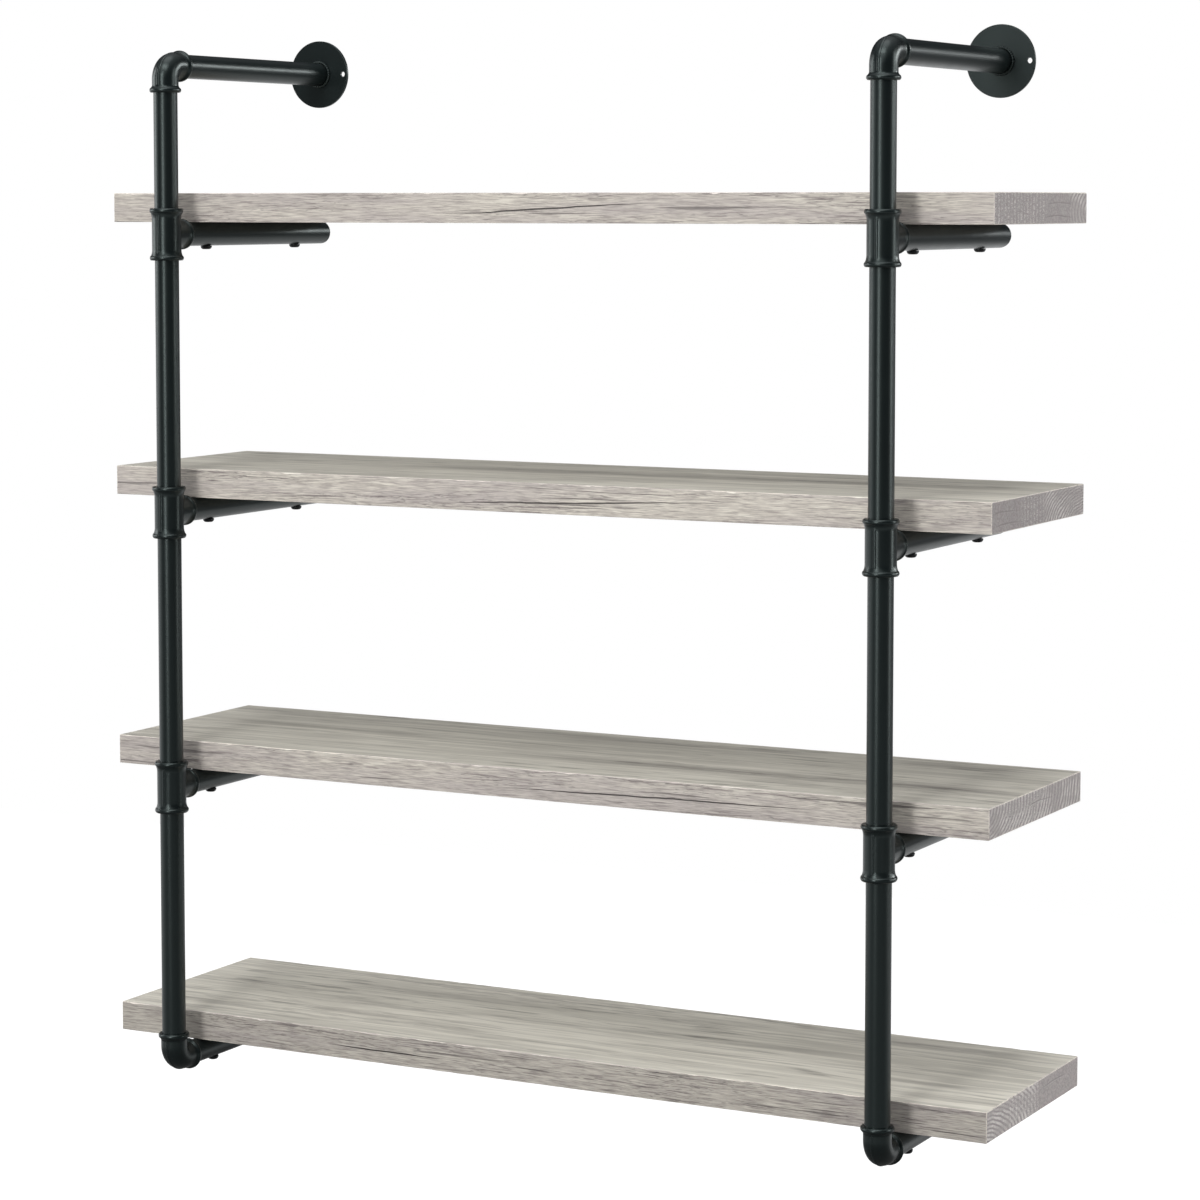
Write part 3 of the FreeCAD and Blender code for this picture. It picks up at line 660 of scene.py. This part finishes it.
def edge_laminate(name, board, tones, middle, crack):
    """The printed face of the front and back edges: dense cream and umber strands."""
    material, surface, place = new_finish(name, specular=LAMINATE_SHEEN)
    cream, beige, mauve, umber, soot = tones
    strands = grain_field(place, board, EDGE_SWAY)
    warm = strands(3.0, 32.0, 3.0, 3.0).smooth(0.38, 0.62)
    mottle = strands(6.0, 75.0, 3.0, 23.0)
    fibre = strands(60.0, 1250.0, 3.0)
    pale_strands = strands(42.0, 860.0, 3.0, 9.0)
    dark_strands = strands(24.0, 620.0, 3.0, 17.0).smooth(0.555, 0.635)
    ticks = strands(95.0, 760.0, 2.0, 31.0).smooth(0.57, 0.67)
    hair = strands(5.0, 330.0, 2.0, 53.0).smooth(0.640, 0.690)
    split = crack_mask(place, crack, middle,
                       (strands(9.0, 6.0, 3.0, 41.0) - 0.5) * CRACK_WANDER)
    colour = warm.blend(mauve, beige)
    colour = ((1.0 - fibre.smooth(0.32, 0.60)) * 0.65).blend(colour, umber)
    colour = (pale_strands.smooth(0.50, 0.63) * (0.28 + warm * 0.42)).blend(colour, cream)
    colour = (dark_strands * (0.30 + mottle.smooth(0.44, 0.60) * 0.60)).blend(colour, umber)
    colour = (mottle.smooth(0.54, 0.74) * 0.22).blend(colour, umber)
    colour = (ticks * mottle.smooth(0.46, 0.58) * 0.50).blend(colour, soot)
    colour = (hair * 0.65).blend(colour, soot)
    colour = (split * 0.92).blend(colour, toned(soot, 0.45))
    wire(surface, "Base Color", colour)
    wire(surface, "Roughness", EDGE_ROUGHNESS + (fibre - 0.5) * 0.35)
    emboss(surface, fibre * EDGE_RELIEF["fibre"] + pale_strands * EDGE_RELIEF["cream"]
           - split * EDGE_RELIEF["split"] - hair * EDGE_RELIEF["hair"], EDGE_EMBOSS)
    return material


TOP_SWAY = 0.004
TOP_ROUGHNESS = 0.50
TOP_EMBOSS = 0.8
TOP_RELIEF = {"fibre": 0.00022, "band": 0.0001, "fleck": 0.0002}


def smear_mask(place, smear, wisps, dashes):
    """A long smoky streak along the board, frayed into lines and dashes."""
    start, end, depth, slope, width, strength = smear
    x = place.axis(0)
    along = (x - start) / (end - start)
    off = (place.axis(1) - (x - start) * slope - depth).maths("ABSOLUTE") / width
    body = along.smooth(0.0, 0.3) * (1.0 - along.smooth(0.65, 1.0)) * (1.0 - off.smooth(0.2, 1.3))
    frayed = 0.55 + wisps.smooth(0.42, 0.54) * 0.35 + dashes.smooth(0.46, 0.60) * 0.30
    return body * frayed * strength


def top_laminate(name, board, tones, streak, smears):
    """The wide face: smoother, with long smoky streaks and a few dark flecks."""
    material, surface, place = new_finish(name, specular=LAMINATE_SHEEN)
    pale, plain, dull, smoke = tones
    strands = grain_field(place, board, TOP_SWAY)
    broad = strands(1.6, 13.0, 3.0, 2.0)
    band = strands(3.2, 60.0, 3.0, 5.0)
    line = strands(6.0, 170.0, 4.0, 7.0)
    fibre = strands(26.0, 420.0, 3.0, 11.0)
    dashes = strands(30.0, 150.0, 4.0, 23.0)
    wisps = strands(6.0, 110.0, 4.0, 29.0)
    smoky = strands(1.8, 15.0, 3.0, 31.0).smooth(0.50, 0.60)
    smoky = smoky * (0.12 + wisps.smooth(0.46, 0.58) * 0.60 + dashes.smooth(0.50, 0.60) * 0.50)
    smoky = smoky * streak
    for smear in smears:
        smoky = smoky.maths("MAXIMUM", smear_mask(place, smear, wisps, dashes))
    flecks = strands(11.0, 100.0, 4.0, 43.0).smooth(0.56, 0.70) * broad.smooth(0.42, 0.54)
    hairs = strands(7.0, 130.0, 2.0, 61.0).smooth(0.60, 0.66)
    scratch = strands(5.0, 420.0, 1.0, 57.0).smooth(0.66, 0.72)
    colour = broad.smooth(0.36, 0.64).blend(dull, plain)
    colour = ((band * 0.5 + line * 0.5).smooth(0.45, 0.58) * 0.85).blend(colour, pale)
    colour = ((1.0 - line.smooth(0.36, 0.48)) * 0.80).blend(colour, dull)
    colour = ((1.0 - fibre.smooth(0.32, 0.50)) * 0.50).blend(colour, dull)
    colour = (hairs * 0.42).blend(colour, smoke)
    colour = (smoky * 0.80).blend(colour, smoke)
    colour = (flecks * 0.65).blend(colour, toned(smoke, 0.75))
    colour = (scratch * 0.35).blend(colour, pale)
    wire(surface, "Base Color", colour)
    wire(surface, "Roughness", TOP_ROUGHNESS + (fibre - 0.5) * 0.30 + smoky * 0.06)
    emboss(surface, fibre * TOP_RELIEF["fibre"] + band * TOP_RELIEF["band"]
           - flecks * TOP_RELIEF["fleck"], TOP_EMBOSS)
    return material


RING_STRETCH = 0.42
RING_WOBBLE = 0.0034
PORE_ROW = 0.0085
PORE_WOBBLE = 0.004
ZONE_FADE = 0.012
RAY_HALF_WIDTHS = (0.0003, 0.0011)     # of its dark core, and of all that shows
RAY_WAVE = 0.0012
RAY_WOBBLE = 0.002
RAY_WAVES_PER_METRE = 55.0
END_ROUGHNESS = 0.55
END_EMBOSS = 0.8
END_RELIEF = {"grit": 0.0002, "ring": 0.0002, "pore": 0.0001, "ray": 0.0003}


def end_laminate(name, board, tones, middle, plan):
    """The board's end: growth rings, pores and rays, each in its own zone."""
    material, surface, place = new_finish(name, specular=LAMINATE_SHEEN)
    pale, plain, rose, dark = tones
    y, z = place.axis(1), place.axis(2) - middle
    dots = place.stretched((9.0, 620.0, 240.0), (board, 0.0, board)).cloud(1.0, 2.0)
    grit = place.stretched((9.0, 520.0, 520.0), (0.0, board, 0.0)).cloud(1.0, 3.0, 0.6)
    wobble = place.stretched((9.0, 45.0, 45.0), (0.0, 0.0, board)).cloud(1.0, 2.0) - 0.5

    def zone(first, last):
        return y.smooth(first - ZONE_FADE, first + ZONE_FADE) * (
            1.0 - y.smooth(last - ZONE_FADE, last + ZONE_FADE))

    pith_y, pith_z = plan["pith"]
    across, up = (y - pith_y) * RING_STRETCH, z - pith_z
    radius = (across * across + up * up).maths("SQRT") + wobble * RING_WOBBLE
    wave = (radius * (math.tau / plan["pitch"])).maths("SINE") * 0.5 + 0.5
    faded = place.stretched((9.0, 26.0, 60.0), (0.0, board, board)).cloud(1.0, 2.0)
    ringed = zone(*plan["rings"]) * (0.30 + faded.smooth(0.38, 0.62) * 0.70)
    ring = wave.smooth(0.22, 0.66) * (0.55 + dots.smooth(0.38, 0.55) * 0.45) * ringed
    rows = ((y + wobble * PORE_WOBBLE) * (math.tau / PORE_ROW)).maths("SINE") * 0.5 + 0.5
    specks = place.stretched((9.0, 330.0, 1000.0), (board, 0.0, board)).cloud(1.0, 2.0)
    pored = zone(*plan["pores"])
    pores = specks.smooth(0.46, 0.62) * rows.smooth(0.0, 0.8) * pored
    ray = 0.0
    for first, last, height in plan["rays"]:
        drop = ((y - first) * RAY_WAVES_PER_METRE).maths("SINE") * RAY_WAVE + height
        off = (z - (drop + wobble * RAY_WOBBLE)).maths("ABSOLUTE").smooth(*RAY_HALF_WIDTHS)
        ray = (1.0 - off) * zone(first, last) + ray
    colour = (wobble + 0.5).smooth(0.35, 0.65).blend(plain, rose)
    colour = (grit.smooth(0.35, 0.65) * 0.5).blend(dark, colour)
    colour = (pored * 0.22).blend(colour, dark)
    colour = (ringed * 0.62).blend(colour, dark)
    colour = (ring * 0.68).blend(colour, pale)
    colour = (pores * 0.50).blend(colour, pale)
    colour = (ray * 0.6).blend(colour, dark)
    wire(surface, "Base Color", colour)
    wire(surface, "Roughness", END_ROUGHNESS + (grit - 0.5) * 0.3)
    emboss(surface, grit * END_RELIEF["grit"] + ring * END_RELIEF["ring"]
           + pores * END_RELIEF["pore"] - ray * END_RELIEF["ray"], END_EMBOSS)
    return material


# Laminate colours per face: the edges lighter and warmer than the top and the ends, partly the
# print and partly painted light and shade.
EDGE_TONES = ((0.80, 0.755, 0.66), (0.625, 0.578, 0.510), (0.545, 0.495, 0.462),
              (0.255, 0.222, 0.212), (0.110, 0.098, 0.096))
TOP_TONES = ((0.600, 0.572, 0.505), (0.520, 0.496, 0.436), (0.440, 0.418, 0.368),
             (0.205, 0.190, 0.172))
END_TONES = ((0.690, 0.655, 0.625), (0.500, 0.466, 0.447), (0.505, 0.446, 0.438),
             (0.265, 0.238, 0.233))
# The arris strips take the edge colours painted lighter: partly rubbed wear, partly a painted
# highlight along the eased edge.
WORN_AND_HIGHLIGHT_SHARE = 1.32
BOARDS = [
    # tones: how light this board's top, edges and ends are painted, partly the print
    # and partly painted light and shade for the light each face gets in its tier
    # crack: start and end along the board, height above its middle, slope
    # streak: strength of the smoky streaks
    # smears: start, end, depth, slope, half width, strength
    # end: pith, ring pitch, where rings and pores lie in depth, rays from, to and height
    {"tones": (1.0, 0.92, 1.10), "crack": (-0.10, 0.152, -0.0055, 0.040), "streak": 0.55,
     "smears": [(-0.40, 0.10, -0.170, 0.03, 0.012, 0.6), (0.05, 0.46, -0.070, 0.02, 0.014, 0.6)],
     "end": {"pith": (0.030, -0.004), "pitch": 0.0036, "rings": (-0.055, 0.0),
             "pores": (-0.30, -0.125),
             "rays": [(-0.120, -0.062, 0.004), (-0.125, -0.064, -0.009)]}},
    {"tones": (1.18, 0.96, 1.04), "crack": (-0.10, 0.225, -0.0085, 0.034), "streak": 0.45,
     "smears": [(-0.34, 0.64, -0.122, 0.02, 0.024, 1.0), (0.10, 0.50, -0.060, 0.00, 0.008, 0.5)],
     "end": {"pith": (-0.006, -0.026), "pitch": 0.0030, "rings": (-0.120, 0.0),
             "pores": (-0.185, -0.120),
             "rays": [(-0.262, -0.205, 0.003), (-0.250, -0.190, -0.009)]}},
    {"tones": (1.09, 0.93, 1.13), "crack": (-0.04, 0.340, -0.0062, 0.018), "streak": 0.45,
     "smears": [(-0.12, 0.64, -0.180, 0.01, 0.018, 1.0), (0.20, 0.50, -0.150, -0.02, 0.006, 0.5),
                (-0.14, 0.26, -0.055, 0.05, 0.010, 0.6), (0.30, 0.46, -0.044, 0.00, 0.012, 0.7),
                (-0.45, -0.15, -0.120, 0.04, 0.010, 0.5)],
     "end": {"pith": (-0.300, 0.014), "pitch": 0.0034, "rings": (-0.275, -0.010),
             "pores": (-0.230, -0.110), "rays": [(-0.160, -0.100, 0.002)]}},
    {"tones": (1.27, 0.76, 1.28), "crack": (-0.245, -0.095, -0.0022, 0.0), "streak": 0.55,
     "smears": [(-0.38, 0.00, -0.070, 0.00, 0.018, 0.5), (-0.02, 0.36, -0.125, 0.02, 0.014, 0.6),
                (0.24, 0.49, -0.046, 0.03, 0.012, 0.8), (0.34, 0.49, -0.188, 0.00, 0.008, 0.6)],
     "end": {"pith": (-0.290, -0.030), "pitch": 0.0036, "rings": (-0.275, -0.130),
             "pores": (-0.205, -0.120), "rays": [(-0.110, -0.050, 0.005)]}},
]
for tier, look in enumerate(BOARDS, 1):
    board = make_board(tier)
    low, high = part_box("shelf_%d" % tier)
    middle = (low.z + high.z) / 2.0
    # each face's colours scaled by this board's shares: print tone with painted light and shade
    top_tones, edge_tones, end_tones = [
        [toned(tone, share) for tone in tones]
        for tones, share in zip((TOP_TONES, EDGE_TONES, END_TONES), look["tones"])]
    # arris strips: edge colours painted lighter, as rubbed wear and a painted highlight
    worn_and_highlight_tones = [toned(tone, WORN_AND_HIGHLIGHT_SHARE) for tone in EDGE_TONES]
    for material in (
            top_laminate("board_%d_top" % tier, tier, top_tones, look["streak"], look["smears"]),
            edge_laminate("board_%d_edge" % tier, tier + 9, edge_tones, middle, look["crack"]),
            end_laminate("board_%d_end" % tier, tier, end_tones, middle, look["end"]),
            edge_laminate("board_%d_arris" % tier, tier + 5, worn_and_highlight_tones, middle, look["crack"])):
        board.data.materials.append(material)
    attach(board, "root")
    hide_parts("shelf_%d" % tier)
